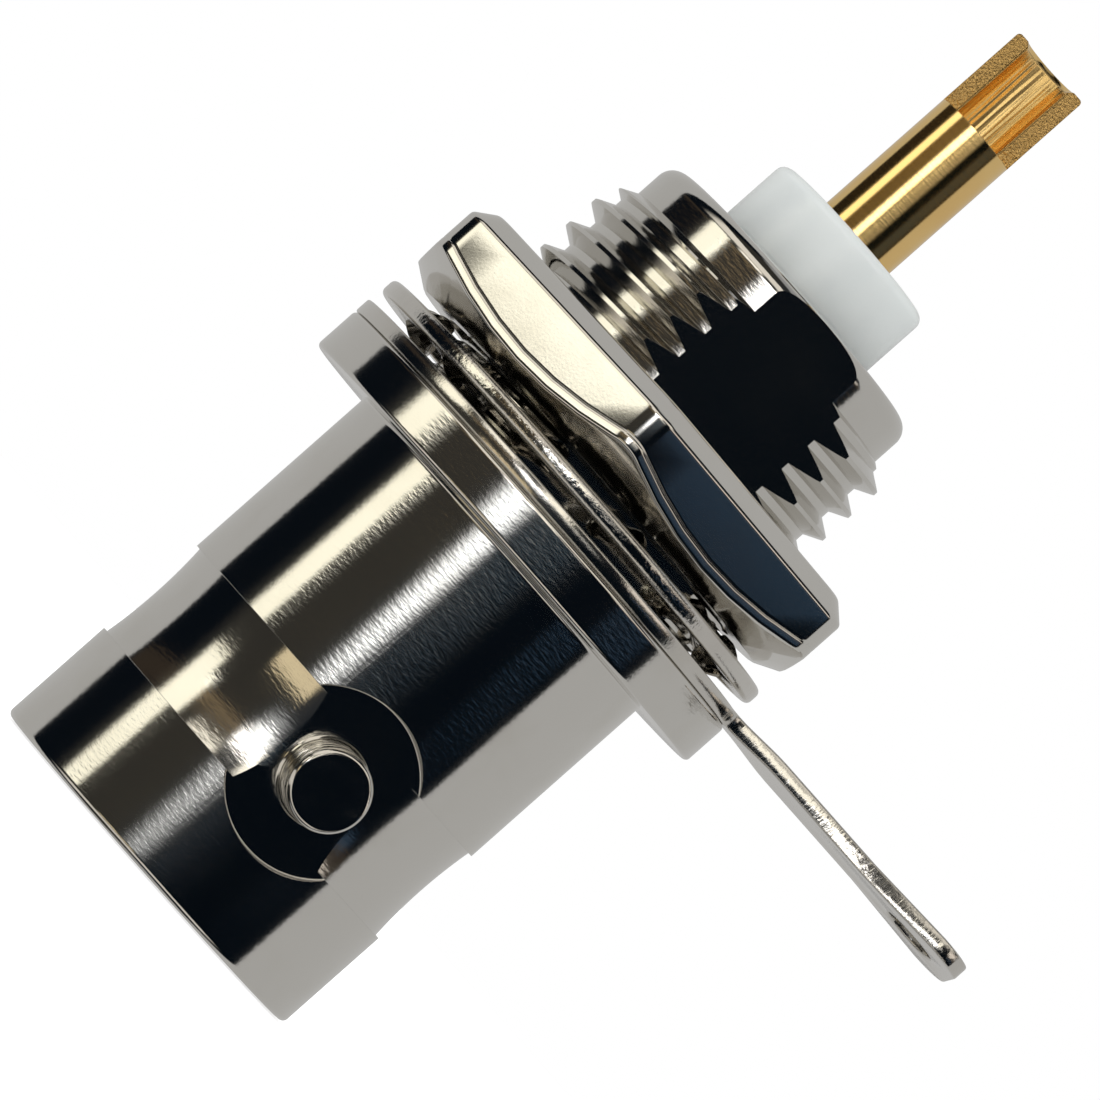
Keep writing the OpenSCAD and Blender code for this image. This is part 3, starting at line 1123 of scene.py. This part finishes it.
@dataclass
class Insulators:
    """The two fluoropolymer bushes that hold the contact."""

    nose_r: float = 2.35
    nose_z: float = 3.2
    cavity_r: float = 3.22
    web_end: float = 9.2
    split: float = 13.2
    bore_r: float = 1.13
    neck_r: float = 2.45
    shoulder: float = 19.5
    neck_z: float = 21.93
    neck_edge: float = 0.25
    collar_r: float = 1.68
    collar_t: float = 1.2

    def front(self) -> bpy.types.Object:
        """The bush inside the mouth.

        Returns:
            The front bush's piece.
        """
        corners = [
            (self.bore_r, self.nose_z, 0.05),
            (self.nose_r, self.nose_z, 0.12),
            (self.nose_r, self.web_end, 0),
            (self.cavity_r, self.web_end, 0.05),
            (self.cavity_r, self.split, 0.05),
            (self.bore_r, self.split, 0.05),
        ]
        mesh = MeshKit.lathe("front", MeshKit.rounded(corners), True, 128)
        return dress(
            "insulator_front", mesh, RESIN, ("front_insulator",), Body.CONNECTOR
        )

    def back(self) -> bpy.types.Object:
        """The bush whose neck stands out of the rear.

        Returns:
            The rear bush's piece.
        """
        seat = self.split + self.collar_t
        corners = [
            (self.collar_r, self.split, 0.04),
            (self.cavity_r, self.split, 0.04),
            (self.cavity_r, self.shoulder, 0.04),
            (self.neck_r, self.shoulder, 0),
            (self.neck_r, self.neck_z, self.neck_edge),
            (self.bore_r, self.neck_z, 0.06),
            (self.bore_r, seat, 0),
            (self.collar_r, seat, 0),
        ]
        mesh = MeshKit.lathe("back", MeshKit.rounded(corners, 6), True, 160)
        return dress(
            "insulator_rear", mesh, RESIN, ("rear_insulator",), Body.CONNECTOR
        )


@dataclass
class Contact:
    """The gold contact: slotted socket in front and scooped solder cup behind."""

    radius: float = 1.1
    tip: float = 3.5
    end: float = 28.05
    edge: float = 0.1
    socket_r: float = 0.69
    socket_depth: float = 5.6
    slot_w: float = 0.25
    slot_len: float = 3.8
    collar_r: float = 1.65
    collar_z: float = 13.2
    collar_t: float = 1.2
    cup_r: float = 0.675
    cup_depth: float = 5.0
    scoop_len: float = 2.37
    scoop_turn: float = -17.0
    drill_point: float = 0.3

    def profile(self) -> Loop:
        """Rows of the contact, with a drill's point at the end of each bore.

        Returns:
            Radius and height from the socket's floor round the outside to the cup's floor.
        """
        socket_end = self.tip + self.socket_depth
        cup_end = self.end - self.cup_depth
        collar_end = self.collar_z + self.collar_t
        body = self.radius - self.edge
        rows: Loop = [(0.0, socket_end + self.drill_point), (self.socket_r, socket_end)]
        rows += [(self.socket_r, self.tip + 0.12), (self.socket_r + 0.1, self.tip + 0.01)]
        rows += MeshKit.arc((body, self.tip + self.edge), self.edge, -90, 0, 4)
        rows += [(self.radius, self.collar_z), (self.collar_r, self.collar_z)]
        rows += [(self.collar_r, collar_end), (self.radius, collar_end)]
        rows += MeshKit.arc((body, self.end - self.edge), self.edge, 0, 90, 4)
        rows += [(self.cup_r + 0.12, self.end), (self.cup_r + 0.01, self.end - 0.11)]
        rows += [(self.cup_r, self.end - 0.16), (self.cup_r, cup_end)]
        rows += [(0.0, cup_end - self.drill_point)]
        return rows

    def build(self) -> bpy.types.Object:
        """Turns, slots and scoops the contact.

        Returns:
            The contact's piece.
        """
        kit = MeshKit
        mesh = kit.lathe("contact", self.profile(), False, 128)
        far, half = 3.0, self.slot_w / 2
        slot = (Vector((-far, -half, self.tip - 1)), Vector((far, half, self.tip + self.slot_len)))
        scoop = (Vector((0, -far, self.end - self.scoop_len)), Vector((far, far, self.end + 1)))
        for turn, (low, high) in ((45.0, slot), (135.0, slot), (self.scoop_turn, scoop)):
            cut = kit.turned(kit.box(low, high), Matrix.Rotation(math.radians(turn), 4, "Z"))
            mesh = kit.boolean(mesh, cut, "DIFFERENCE")
        return dress("contact_gold", mesh, GOLD, ("centre_contact",), Body.CONNECTOR)


# ---- Ground tag and lock washer ----


@dataclass
class GroundTag:
    """The stamped tag: a ring under the washer and a twisted tail that flares to its wire hole."""

    seat: float = 12.2
    thick: float = 0.4
    ring_r: float = 6.45
    hole_r: float = 4.825
    tail_w: float = 2.4
    tip_w: float = 3.9
    fillet: float = 0.5
    flare: float = 11.1
    reach: float = 14.3
    corner: float = 0.9
    wire_r: float = 0.75
    wire_x: float = 12.9
    turn: float = 74.0
    twist: float = -4.5
    bend_len: float = 1.6
    bend_step: float = 0.25
    bend_cuts: int = 9
    burr: float = 0.05

    def outline(self) -> Loop:
        """The tag's outer line.

        Returns:
            Its points, anticlockwise, with the tail along +X.
        """
        centre_r = self.ring_r + self.fillet
        centre_y = self.tail_w / 2 + self.fillet
        centre_x = math.sqrt(centre_r**2 - centre_y**2)
        touch = math.degrees(math.atan2(centre_y, centre_x))
        arc = MeshKit.arc
        corner_x = self.reach - self.corner
        corner_y = self.tip_w / 2 - self.corner
        rows = arc((0.0, 0.0), self.ring_r, touch, 360 - touch, 120)
        rows += arc((centre_x, -centre_y), self.fillet, 180 - touch, 90, 8)[1:]
        rows += [(self.flare, -self.tail_w / 2), (corner_x, -self.tip_w / 2)]
        rows += arc((corner_x, -corner_y), self.corner, -90, 0, 10)[1:]
        rows += arc((corner_x, corner_y), self.corner, 0, 90, 10)
        rows += [(self.flare, self.tail_w / 2)]
        rows += arc((centre_x, centre_y), self.fillet, 270, 180 + touch, 8)[:-1]
        return rows

    def sheet(self) -> bpy.types.Mesh:
        """The flat tag with its sheared edges eased.

        Returns:
            A closed mesh about the plane z = 0, with the tail along +X.
        """
        curve = bpy.data.curves.new("tag", "CURVE")
        curve.dimensions = "2D"
        curve.fill_mode = "BOTH"
        curve.extrude = (self.thick / 2 - self.burr) * MM
        curve.bevel_depth = self.burr * MM
        curve.bevel_resolution = 2
        curve.offset = -self.burr * MM
        ring_hole = MeshKit.arc((0.0, 0.0), self.hole_r, 0, 357.5, 143)
        wire_hole = MeshKit.arc((self.wire_x, 0.0), self.wire_r, 0, 352.5, 47)
        for line in (self.outline(), ring_hole, wire_hole):
            spline = curve.splines.new("POLY")
            spline.points.add(len(line) - 1)
            for point, (x, y) in zip(spline.points, line):
                point.co = (x * MM, y * MM, 0, 1)
            spline.use_cyclic_u = True
        holder = bpy.data.objects.new("tag", curve)
        bpy.context.scene.collection.objects.link(holder)
        return MeshKit.weld(MeshKit.evaluated(holder))

    def build(self) -> bpy.types.Object:
        """Stamps, twists and dresses the tag.

        Returns:
            The tag's piece.
        """
        mesh = self.sheet()
        work = bmesh.new()
        work.from_mesh(mesh)
        for i in range(self.bend_cuts):
            x = self.ring_r + 0.05 + i * self.bend_step
            bmesh.ops.bisect_plane(
                work, geom=work.verts[:] + work.edges[:] + work.faces[:],
                plane_co=(x * MM, 0, 0), plane_no=(1, 0, 0), dist=1e-8,
            )
        work.to_mesh(mesh)
        work.free()
        co = np.empty(len(mesh.vertices) * 3)
        mesh.vertices.foreach_get("co", co)
        co = co.reshape(-1, 3)
        share = np.clip((co[:, 0] / MM - self.ring_r) / self.bend_len, 0, 1)
        share = share * share * (3 - 2 * share)
        angle = np.radians(self.twist) * share
        y, z = co[:, 1].copy(), co[:, 2].copy()
        co[:, 1] = y * np.cos(angle) - z * np.sin(angle)
        co[:, 2] = y * np.sin(angle) + z * np.cos(angle) + (self.seat + self.thick / 2) * MM
        mesh.vertices.foreach_set("co", co.ravel())
        MeshKit.turned(mesh, Matrix.Rotation(math.radians(self.turn), 4, "Z"))
        return dress(
            "tag_stamped", mesh, TAG_PLATE, ("ground_tag",), Body.CONNECTOR, sharp=50.0
        )


@dataclass
class LockWasher:
    """An internal-tooth lock washer with twisted teeth."""

    middle: float = 13.145
    outer_r: float = 6.4
    rim_w: float = 0.9
    thick: float = 0.45
    teeth: int = 12
    tooth_w: float = 1.4
    twist: float = 30.0
    tip_r: float = 4.875
    edge: float = 0.14

    def tooth(self) -> bpy.types.Mesh:
        """One tooth along +X that twists as it leaves the rim.

        Returns:
            A closed mesh about the washer's middle plane.
        """
        # Radius, share of the twist and share of the section at each station.
        stations = (
            (self.outer_r - 0.25, 0.0, 1.0),
            (self.outer_r - self.rim_w + 0.05, 0.15, 1.0),
            (5.42, 0.5, 1.0),
            (5.3, 0.8, 1.0),
            (5.18, 1.0, 1.0),
            (5.02, 1.0, 1.0),
            (self.tip_r + 0.04, 1.0, 1.0),
            (self.tip_r, 1.0, 0.94),
        )
        w, t, e = self.tooth_w / 2, self.thick / 2, self.edge
        section = (
            (w - e, t), (w, t - e), (w, e - t), (w - e, -t),
            (e - w, -t), (-w, e - t), (-w, t - e), (e - w, t),
        )
        points = []
        for r, share, size in stations:
            angle = math.radians(self.twist) * share
            sine, cosine = math.sin(angle), math.cos(angle)
            for y, z in section:
                y, z = y * size, z * size
                points.append((r, y * cosine - z * sine, y * sine + z * cosine))
        count = len(section)
        faces = MeshKit.grid_faces(len(stations), count, False)
        faces += [tuple(range(count)), tuple(range(len(points) - count, len(points)))]
        return MeshKit.weld(MeshKit.mesh("tooth", np.array(points), faces))

    def tree(self) -> bpy.types.NodeTree:
        """Builds the tree that sets teeth round the axis.

        Returns:
            A geometry tree with the tooth, the number of teeth and the height as inputs.
        """
        tree = new_tree("teeth_rule", {"Teeth": "Int", "Height": "Float"})
        graph = Graph(tree)
        given = graph.node("NodeGroupInput")
        spots = graph.node("GeometryNodePoints", None, {"Count": given.outputs["Teeth"]})
        index = graph.value(graph.node("GeometryNodeInputIndex"))
        angle = index * (2 * math.pi) / graph.value(given, "Teeth")
        turn = graph.vector(0.0, 0.0, angle)
        lift = graph.vector(0.0, 0.0, graph.value(given, "Height"))
        set_on = graph.node(
            "GeometryNodeInstanceOnPoints",
            None,
            {"Points": spots.outputs[0], "Instance": given.outputs["Geometry"], "Rotation": turn},
        )
        lifted = graph.node(
            "GeometryNodeTranslateInstances",
            None,
            {"Instances": set_on.outputs[0], "Translation": lift},
        )
        finish_tree(graph, given, lifted)
        return tree

    def build(self) -> bpy.types.Object:
        """Makes the rim, sets the teeth and dresses the washer.

        Returns:
            The washer's piece.
        """
        low, high = self.middle - self.thick / 2, self.middle + self.thick / 2
        inner, outer, edge = self.outer_r - self.rim_w, self.outer_r, self.edge
        corners = [(inner, low, edge), (outer, low, edge), (outer, high, edge), (inner, high, edge)]
        rim = MeshKit.lathe("rim", MeshKit.rounded(corners, 6), True)
        holder = MeshKit.scratch(self.tooth())
        sizes = {"Teeth": self.teeth, "Height": self.middle * MM}
        teeth = run_tree(holder, self.tree(), sizes, SPRING)
        mesh = MeshKit.boolean(rim, MeshKit.weld(teeth), "UNION")
        return dress(
            "washer_toothed", mesh, SPRING, ("lock_washer",), Body.WASHER,
            sharp=45.0,
        )


# ---- Nut ----


@dataclass
class HexNut:
    """The hex nut: chamfered front, rounded rear edges and a thread that meets the shank's."""

    front: float = 13.69
    thick: float = 2.35
    flats: float = 12.7
    face_r: float = 5.75
    chamfer: float = 30.0
    rear_in: float = 0.5
    rear_back: float = 0.42
    corner_r: float = 0.8
    turned_r: float = 7.21
    turn: float = -15.0
    gap: float = 0.04
    mouth_r: float = 4.95

    def ring(self, apothem: float) -> np.ndarray:
        """Points of a hexagon with round corners.

        Args:
            apothem: half the distance across its flats.

        Returns:
            Two numbers per point, anticlockwise, the same count for every apothem.
        """
        centre = (apothem - self.corner_r) / math.cos(math.pi / 6)
        half = (apothem - self.corner_r) * math.tan(math.pi / 6)
        points = []
        for side in range(6):
            mid = math.radians(self.turn + 30 + 60 * side)
            out = np.array([math.cos(mid), math.sin(mid)])
            along = np.array([-out[1], out[0]])
            for share in (-1.0, -0.97, -0.66, -0.33, 0.0, 0.33, 0.66, 0.97, 1.0):
                points.append(out * apothem + along * half * share)
            for k in range(1, 12):
                angle = mid + math.radians(60 * k / 12)
                hub = np.array([math.cos(mid + math.pi / 6), math.sin(mid + math.pi / 6)]) * centre
                points.append(hub + self.corner_r * np.array([math.cos(angle), math.sin(angle)]))
        points = np.array(points)
        far = np.linalg.norm(points, axis=1)
        return points * np.minimum(1.0, self.turned_r / far)[:, None]

    def blank(self) -> bpy.types.Mesh:
        """The nut without its bore.

        Returns:
            A closed mesh, chamfered in front and rounded behind.
        """
        rows = []
        outer = self.ring(self.flats / 2)
        reach = np.linalg.norm(outer, axis=1)
        spoke = outer / reach[:, None]
        slope = math.tan(math.radians(self.chamfer))
        front = self.front

        def row(points: np.ndarray, heights: np.ndarray | float) -> None:
            """Adds one ring of points at one height or at a height for each."""
            rows.append(np.column_stack([points, np.broadcast_to(heights, len(points))]))

        row(spoke * 0.0, front)
        for r in (4.6, self.face_r - 0.08, self.face_r - 0.03):
            row(spoke * r, front)
        row(spoke * self.face_r, front + 0.006)
        row(spoke * (self.face_r + 0.03), front + 0.03 * slope)
        past = reach - self.face_r
        for share in (0.5, 0.9):
            row(spoke * (self.face_r + past * share)[:, None], front + past * slope * share)

        # Each ring's inset and its drop behind the chamfer: the edge, then a fine burr line.
        eased = ((0.03, 0.0), (0.012, 0.008), (0.0, 0.03), (0.0, 0.08), (0.0, 0.2))
        burr = ((0.002, 0.24), (0.014, 0.262), (0.014, 0.274), (0.002, 0.296), (0.0, 0.34))
        for inset, drop in eased + burr:
            ringed = self.ring(self.flats / 2 - inset)
            far = np.linalg.norm(ringed, axis=1)
            row(ringed, front + (far - self.face_r) * slope + drop)
        top = self.front + self.thick
        edge = MeshKit.rounded(
            [
                (0.0, -1.0, 0.0),
                (0.0, -self.rear_back, 0.16),
                (self.rear_in, 0.0, 0.3),
                (1.0, 0.0, 0.0),
                (1.0, -1.0, 0.0),
            ],
            7,
        )
        row(outer, top - self.rear_back - 0.12)
        for inset, below in edge[1:-2]:
            row(self.ring(self.flats / 2 - inset), top + below)
        row(self.ring(self.flats / 2 - self.rear_in - 0.3), top)
        row(spoke * 0.0, top)
        faces = MeshKit.grid_faces(len(rows), len(outer), False)
        return MeshKit.weld(MeshKit.mesh("blank", np.vstack(rows), faces))

    def bore(self, shank: Shell) -> bpy.types.Mesh:
        """The tap that cuts the bore.

        Args:
            shank: the shell whose thread the nut meets.

        Returns:
            A closed threaded plug that stands out of both faces.
        """
        past = 0.15
        mouth = self.mouth_r + 0.1
        thread = Thread(
            Side.INNER, shank.shank_r + self.gap, shank.minor_r + self.gap, shank.pitch,
            self.front - past, self.front + self.thick + past,
            start_r=mouth, start_slope=1.0, end_r=mouth, end_slope=1.0, phase=shank.thread_phase,
        )
        low = MeshKit.lathe("low", [(thread.start_r, thread.start), (0.0, thread.start)], False)
        high = MeshKit.lathe("high", [(thread.end_r, thread.end), (0.0, thread.end)], False)
        return MeshKit.join("tap", [low, high, thread.mesh(NUT_PLATE)])

    def build(self, shank: Shell) -> bpy.types.Object:
        """Forms, taps and dresses the nut.

        Args:
            shank: the shell whose thread the nut meets.

        Returns:
            The nut's piece.
        """
        mesh = MeshKit.boolean(self.blank(), self.bore(shank), "DIFFERENCE")
        return dress("nut_hex", mesh, NUT_PLATE, ("hex_nut",), Body.NUT, sharp=42.0)


# ---- Studio ----


@dataclass(frozen=True)
class Lamp:
    """A soft patch of light that the metal mirrors.

    left and right are degrees about the axis from the camera's side, low and high are degrees
    above the horizon, and spread draws the right edge in above the horizon.
    """

    left: float
    right: float
    low: float
    high: float
    light: Rgb
    soft_left: float = 2.0
    soft_right: float = 2.0
    rise: float = 1.0
    spread: float = 0.0

    def share(self, angle: Value, climb: Value) -> Value:
        """How much of the lamp shows in a direction.

        Args:
            angle: the direction's angle about Z from the camera.
            climb: its angle above the horizon.

        Returns:
            0 outside the patch and 1 inside it.
        """
        right = angle
        if self.spread:
            right = angle - climb.ramp(1.0, 2.4) * self.spread
        across = angle.ramp(self.left - self.soft_left, self.left + self.soft_left)
        across = across * right.ramp(self.right + self.soft_right, self.right - self.soft_right)
        up = climb.ramp(self.low - self.rise, self.low + self.rise)
        return across * up * climb.ramp(self.high + 1.0, self.high - 1.0)


@dataclass
class Studio:
    """Pale floor, soft light patches and the camera, with angles in degrees."""

    azimuth: float = -16.0
    dip: float = 1.5
    roll: float = 41.46
    distance: float = 250.0
    field: float = 25.5
    sensor: float = 36.0
    target_z: float = 11.9
    target_n: float = 0.69
    backdrop: Rgb = (0.50, 0.495, 0.485)
    backdrop_turn: float = -16.5
    zenith: Rgb = (0.34, 0.34, 0.34)
    fill: Rgb = (0.74, 0.77, 0.77)
    floor_half: float = 600.0
    floor_z: float = -0.05
    floor_tone: Rgb = (0.6, 0.6, 0.6)
    floor_glow: float = 0.75
    white: Rgb = (1.0, 1.0, 1.0)

    def lamps(self) -> tuple[Lamp, ...]:
        """The lit patches on the camera's side.

        Returns:
            The lamps, whose light adds up where they overlap.
        """
        return (
            # Beside the barrel and the flange, with a soft halo in the middle.
            Lamp(-75.0, -61.5, -2.5, 15.0, (1.42, 1.36, 1.12), 3.0, 2.0, spread=5.5),
            Lamp(-17.0, -7.5, -3.0, 3.7, (0.40, 0.41, 0.42), 7.0, 7.0),
            Lamp(-17.0, -7.5, 1.1, 2.8, (3.8, 3.85, 3.9), 6.0, 6.0, 0.8),
            # On the nut's upper flat, under the relief band, and blue in the dark side.
            Lamp(-60.0, -53.5, 1.75, 2.9, (1.0, 0.97, 0.85), 3.0, 3.0, 0.15),
            Lamp(-41.0, -11.0, -14.0, -8.0, (0.85, 0.70, 0.44), rise=2.5),
            Lamp(50.0, 72.0, 1.9, 5.0, (0.024, 0.045, 0.075), 3.0, 3.0, 0.5),
            Lamp(-4.0, 22.0, 1.5, 3.2, (0.03, 0.05, 0.07), 6.0, 6.0, 0.3),
            # On the solder cup, whose dark side stays brown.
            Lamp(-22.0, -4.0, 4.0, 7.5, (4.2, 4.1, 4.0), 4.0, 3.0, 0.2),
            Lamp(1.0, 26.0, 4.0, 7.5, (0.64, 0.62, 0.58), 3.0, 5.0, 0.2),
            Lamp(-58.0, -24.0, 4.0, 6.0, (0.18, 0.125, 0.06), 3.0, 3.0, 0.2),
            Lamp(-110.0, 18.0, 4.0, 9.0, (0.035, 0.024, 0.013), 5.0, 5.0, 0.2),
            Lamp(48.0, 90.0, 4.0, 9.0, (0.035, 0.024, 0.013), 5.0, 5.0, 0.2),
            # On the tag's tail, the relief band's slopes and the cut cup.
            Lamp(-7.0, 9.0, 6.5, 18.0, (1.5, 1.42, 1.22), 3.0, 3.0, 2.0),
            Lamp(-46.0, -24.0, 10.0, 18.0, (1.4, 1.32, 1.14), 3.0, 3.0, 1.0),
            Lamp(46.0, 75.0, 9.0, 18.0, (0.95, 0.85, 0.75), 4.0, 4.0, 1.0),
            # On edges that look up or down.
            Lamp(-85.0, 60.0, 20.0, 45.0, (0.9, 0.84, 0.74), 10.0, 10.0, 4.0),
            Lamp(-85.0, 60.0, -45.0, -20.0, (0.7, 0.66, 0.6), 10.0, 10.0, 4.0),
        )

    def gloom(self) -> list[tuple[float, Rgb]]:
        """The dark room on the camera's side, by the angle about Z.

        Returns:
            Angle in degrees and light of each stop, in order.
        """
        dusk, olive, black = (0.003, 0.005, 0.008), (0.036, 0.034, 0.029), (0.002, 0.004, 0.0068)
        return [
            (-120, dusk), (-85, dusk), (-74, olive), (-30, olive), (-8, (0.03, 0.032, 0.034)),
            (3, (0.012, 0.016, 0.021)), (18, black), (74, black),
        ]

    def world(self) -> None:
        """Wraps the backdrop, the dark room and its lamps round the scene."""
        world = bpy.data.worlds.new("studio")
        bpy.context.scene.world = world
        world.use_nodes = True
        graph = Graph(world.node_tree)
        graph.tree.nodes.clear()
        direction = graph.node("ShaderNodeTexCoord").outputs["Generated"]
        x, y, z = graph.split(direction)

        def facing(turn: float) -> Value:
            """How far a direction points at an angle about Z."""
            return x * math.cos(math.radians(turn)) + y * math.sin(math.radians(turn))

        angle = graph.math("ARCTAN2", facing(self.azimuth + 90), facing(self.azimuth))
        angle = angle * math.degrees(1)
        climb = z.math("ARCSINE") * math.degrees(1)
        stops = [((a + 180) / 360, colour) for a, colour in self.gloom()]
        room = graph.node("ShaderNodeValToRGB", {"stops": stops}, {"Fac": angle / 360 + 0.5})
        lit = room.outputs[0]
        for lamp in self.lamps():
            lit = graph.plus(lit, lamp.share(angle, climb), lamp.light)
        lit = graph.blend(z.size().ramp(0.95, 0.985), lit, rgba(self.zenith))
        behind = facing(self.azimuth + self.backdrop_turn).ramp(-0.08, -0.115)
        lit = graph.blend(behind, lit, rgba(self.backdrop))
        path = graph.node("ShaderNodeLightPath").outputs
        lit = graph.blend(path["Is Diffuse Ray"], lit, rgba(self.fill))
        shown = graph.blend(path["Is Camera Ray"], lit, rgba(self.white))
        glow = graph.node("ShaderNodeBackground", None, {"Color": shown, "Strength": 1.0})
        graph.node("ShaderNodeOutputWorld", None, {"Surface": glow.outputs[0]})

    def floor(self) -> None:
        """Lays a pale floor just under the mating face, clear from below to show the mouth."""
        half, z = self.floor_half, self.floor_z
        corners = [(-half, -half, z), (half, -half, z), (half, half, z), (-half, half, z)]
        mesh = MeshKit.mesh("floor", np.array(corners), [(0, 1, 2, 3)])
        material = bpy.data.materials.new("pale_floor")
        material.use_nodes = True
        shader = material.node_tree.nodes["Principled BSDF"]
        shader.inputs["Base Color"].default_value = rgba(self.floor_tone)
        shader.inputs["Roughness"].default_value = 0.9
        shader.inputs["Emission Color"].default_value = rgba(self.white)
        shader.inputs["Emission Strength"].default_value = self.floor_glow
        graph = Graph(material.node_tree)
        below = graph.node("ShaderNodeNewGeometry").outputs["Backfacing"]
        clear = graph.node("ShaderNodeBsdfTransparent").outputs[0]
        sided = graph.node("ShaderNodeMixShader", None, {0: below, 1: shader.outputs[0], 2: clear})
        surface = graph.tree.nodes["Material Output"].inputs["Surface"]
        graph.tree.links.new(sided.outputs[0], surface)
        mesh.materials.append(material)
        piece = bpy.data.objects.new("floor", mesh)
        bpy.context.scene.collection.objects.link(piece)
        piece.visible_glossy = False

    def lights(self) -> None:
        """Hangs soft lights that metal doesn't mirror."""
        # Name, place, watts and breadth, in millimetres where they are lengths.
        for name, spot, power, size in (
            ("overhead", (0.0, 0.0, 400.0), 0.6, 500.0),
            ("side", (150.0, -250.0, 180.0), 0.12, 200.0),
        ):
            data = bpy.data.lights.new(name, "AREA")
            data.energy = power
            data.size = size * MM
            lamp = bpy.data.objects.new(name, data)
            lamp.location = Vector(spot) * MM
            aim = Vector((0, 0, 14)) - Vector(spot)
            lamp.rotation_euler = aim.to_track_quat("-Z", "Y").to_euler()
            lamp.visible_glossy = False
            bpy.context.scene.collection.objects.link(lamp)

    def camera(self) -> None:
        """Sets the camera, tipped so that the axis climbs across the frame."""
        a, d, t = math.radians(self.azimuth), math.radians(self.dip), math.radians(self.roll)
        towards = Vector((math.cos(a), math.sin(a), 0))
        side = Vector((-math.sin(a), math.cos(a), 0))
        up_axis = Vector((0, 0, 1))
        back = (towards * math.cos(d) - up_axis * math.sin(d)).normalized()
        right = up_axis * math.cos(t) + side * math.sin(t)
        right = (right - back * right.dot(back)).normalized()
        up = back.cross(right)
        target = up_axis * self.target_z + side * self.target_n
        data = bpy.data.cameras.new("camera")
        data.sensor_width = self.sensor
        data.lens = self.sensor * self.distance / self.field
        data.clip_start, data.clip_end = 0.01, 10.0
        camera = bpy.data.objects.new("camera", data)
        turn = Matrix((right, up, back)).transposed().to_4x4()
        camera.matrix_world = Matrix.Translation((target + back * self.distance) * MM) @ turn
        bpy.context.scene.collection.objects.link(camera)
        bpy.context.scene.camera = camera

    def build(self) -> None:
        """Sets the whole studio."""
        bpy.context.scene.view_settings.view_transform = "Standard"
        self.camera()
        self.world()
        self.floor()
        self.lights()


def main() -> None:
    """Builds the studio and every piece in order."""
    logging.basicConfig(level=logging.INFO, format="%(message)s")
    Studio().build()
    shell = Shell()
    shell.build()
    bushes = Insulators()
    bushes.front()
    bushes.back()
    Contact().build()
    GroundTag().build()
    LockWasher().build()
    HexNut().build(shell)


if __name__ == "__main__":
    main()
